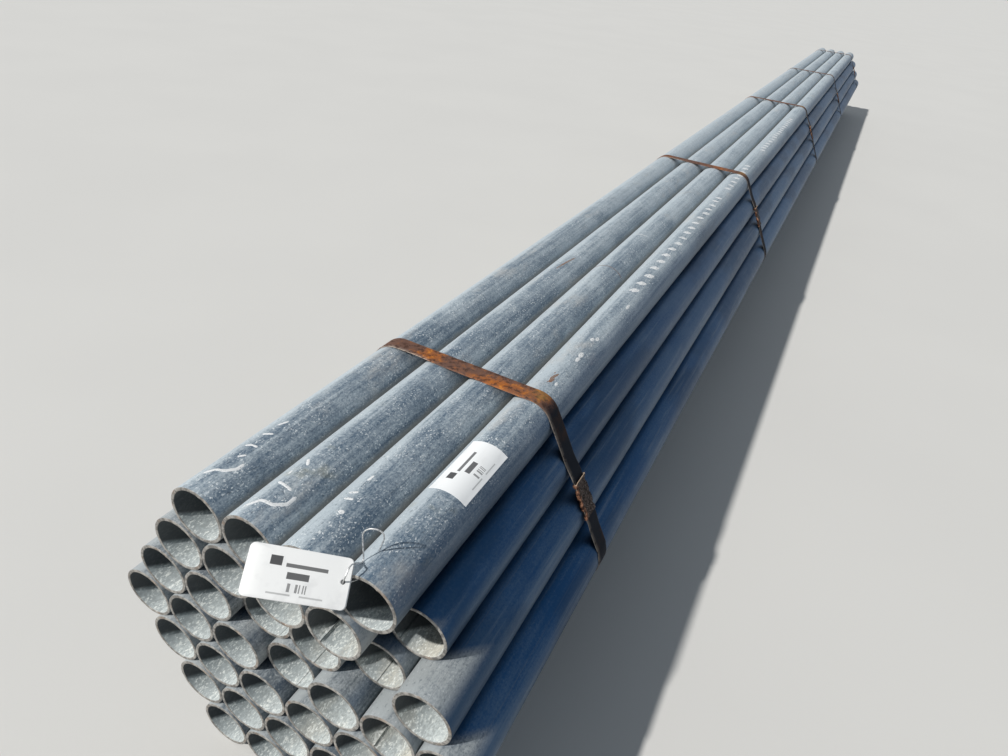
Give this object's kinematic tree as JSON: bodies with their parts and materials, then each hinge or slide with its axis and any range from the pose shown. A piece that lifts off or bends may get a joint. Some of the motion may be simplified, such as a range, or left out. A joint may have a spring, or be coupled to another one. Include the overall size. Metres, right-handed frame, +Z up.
{
  "type": "strapped bundle of galvanised steel pipes",
  "caption": "Hexagonal bundle of long galvanised steel pipes held by crimped steel straps, with wired hang tags and a sticker at one end.",
  "frame": {"origin": "middle of the bundle's footprint, on the floor under the straps", "axes": "+Z up, pipes along Y with the tagged ends towards -Y, +X to the right seen from the tagged ends"},
  "size_m": [0.515, 6.6704, 0.4948],
  "materials": {
    "galvanised_steel": "hot-dip galvanised, weathered and scuffed, brown stains",
    "strap_steel": "dark strapping steel with rust",
    "seal_steel": "crusted with rust",
    "tag_plastic": null,
    "wire_steel": "galvanised, dull",
    "sticker_paper": null
  },
  "bodies": {
    "root": {"pipe_r1_c1": "galvanised_steel", "pipe_r1_c2": "galvanised_steel", "pipe_r1_c3": "galvanised_steel", "pipe_r1_c4": "galvanised_steel", "pipe_r2_c1": "galvanised_steel", "pipe_r2_c2": "galvanised_steel", "pipe_r2_c3": "galvanised_steel", "pipe_r2_c4": "galvanised_steel", "pipe_r2_c5": "galvanised_steel", "pipe_r3_c1": "galvanised_steel", "pipe_r3_c2": "galvanised_steel", "pipe_r3_c3": "galvanised_steel", "pipe_r3_c4": "galvanised_steel", "pipe_r3_c5": "galvanised_steel", "pipe_r3_c6": "galvanised_steel", "pipe_r4_c1": "galvanised_steel", "pipe_r4_c2": "galvanised_steel", "pipe_r4_c3": "galvanised_steel", "pipe_r4_c4": "galvanised_steel", "pipe_r4_c5": "galvanised_steel", "pipe_r4_c6": "galvanised_steel", "pipe_r4_c7": "galvanised_steel", "pipe_r5_c1": "galvanised_steel", "pipe_r5_c2": "galvanised_steel", "pipe_r5_c3": "galvanised_steel", "pipe_r5_c4": "galvanised_steel", "pipe_r5_c5": "galvanised_steel", "pipe_r5_c6": "galvanised_steel", "pipe_r6_c1": "galvanised_steel", "pipe_r6_c2": "galvanised_steel", "pipe_r6_c3": "galvanised_steel", "pipe_r6_c4": "galvanised_steel", "pipe_r6_c5": "galvanised_steel", "pipe_r7_c1": "galvanised_steel", "pipe_r7_c2": "galvanised_steel", "pipe_r7_c3": "galvanised_steel", "pipe_r7_c4": "galvanised_steel", "strap_1": "strap_steel", "strap_seal_1": "seal_steel", "strap_2": "strap_steel", "strap_seal_2": "seal_steel", "strap_3": "strap_steel", "strap_seal_3": "seal_steel", "strap_4": "strap_steel", "strap_seal_4": "seal_steel", "strap_5": "strap_steel", "strap_seal_5": "seal_steel", "hang_tag": "tag_plastic", "hang_tag_back": "tag_plastic", "tag_wire": "wire_steel", "sticker": "sticker_paper"}
  },
  "joints": []
}
